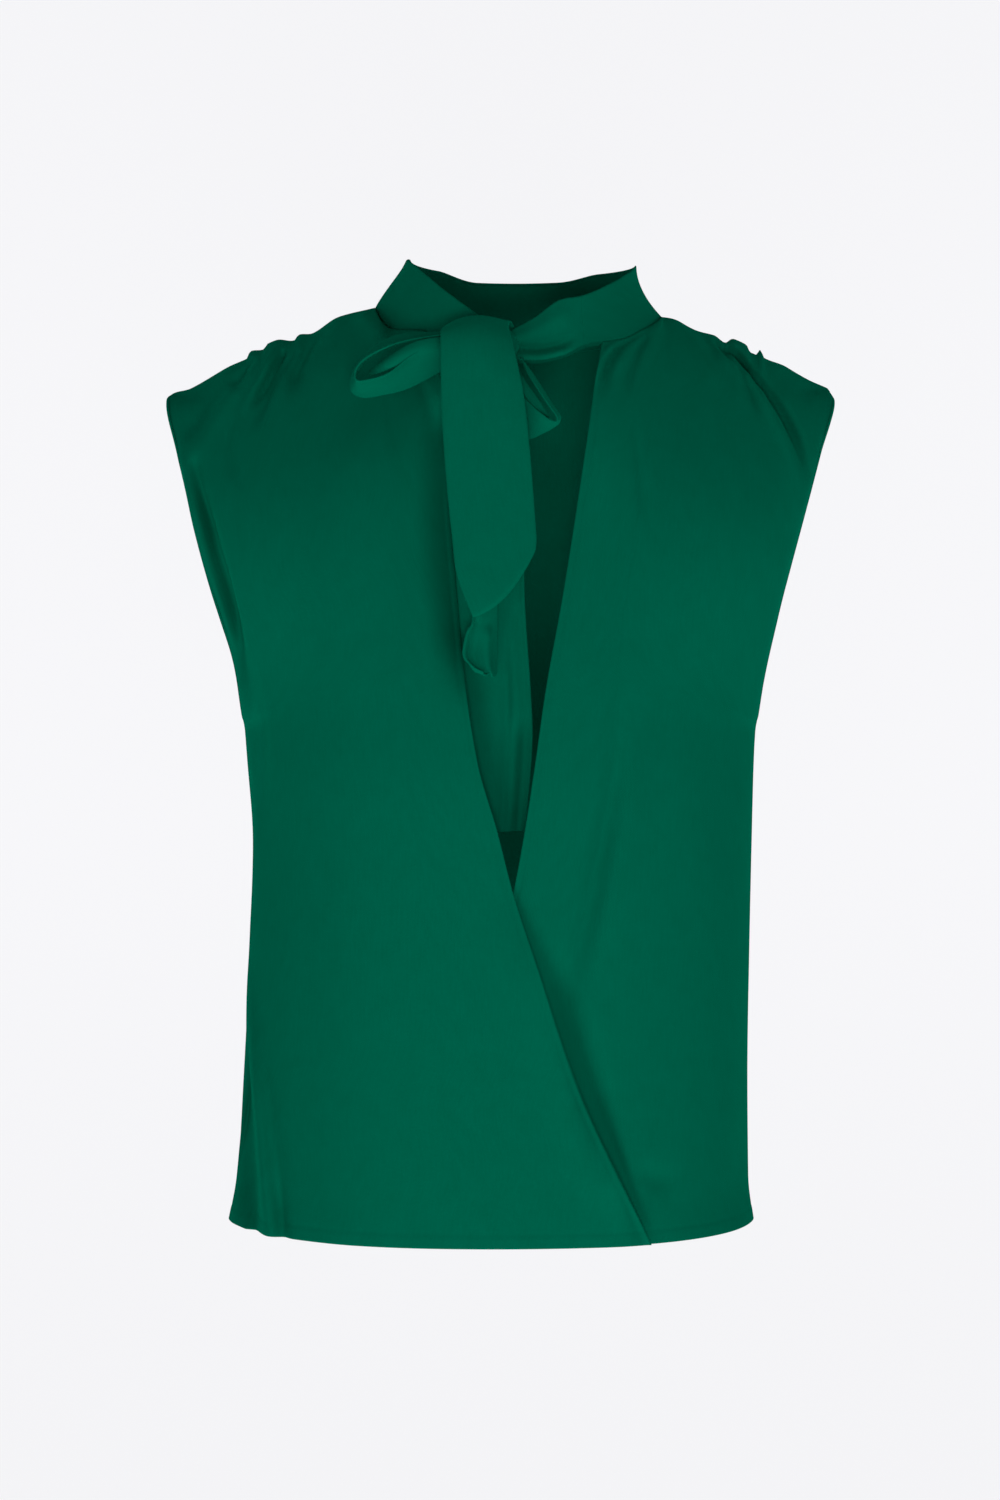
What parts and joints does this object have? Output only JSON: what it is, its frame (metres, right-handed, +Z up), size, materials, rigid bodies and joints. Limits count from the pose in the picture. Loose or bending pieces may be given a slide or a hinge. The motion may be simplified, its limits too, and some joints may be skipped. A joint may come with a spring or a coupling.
{
  "type": "sleeveless wrap blouse with a tied stand collar",
  "caption": "Sleeveless blouse with lapped wrap fronts, gathered shoulders and a stand collar tied in a bow at the neck, filled out as when worn.",
  "frame": {"origin": "midway between the two side neck points, where the shoulder seams meet the collar and the wearer's shoulders carry the blouse", "axes": "+Z up, the front faces -Y, +X is the viewer's right from the front"},
  "size_m": [0.4323, 0.2479, 0.6241],
  "materials": {
    "cloth": "satin"
  },
  "bodies": {
    "root": {"back": "cloth", "front_over": "cloth", "front_under": "cloth", "collar": "cloth", "tie_strap": "cloth", "tie_knot": "cloth", "bow_loop_left": "cloth", "bow_loop_right": "cloth", "tail_front": "cloth", "tail_back": "cloth"}
  },
  "joints": []
}
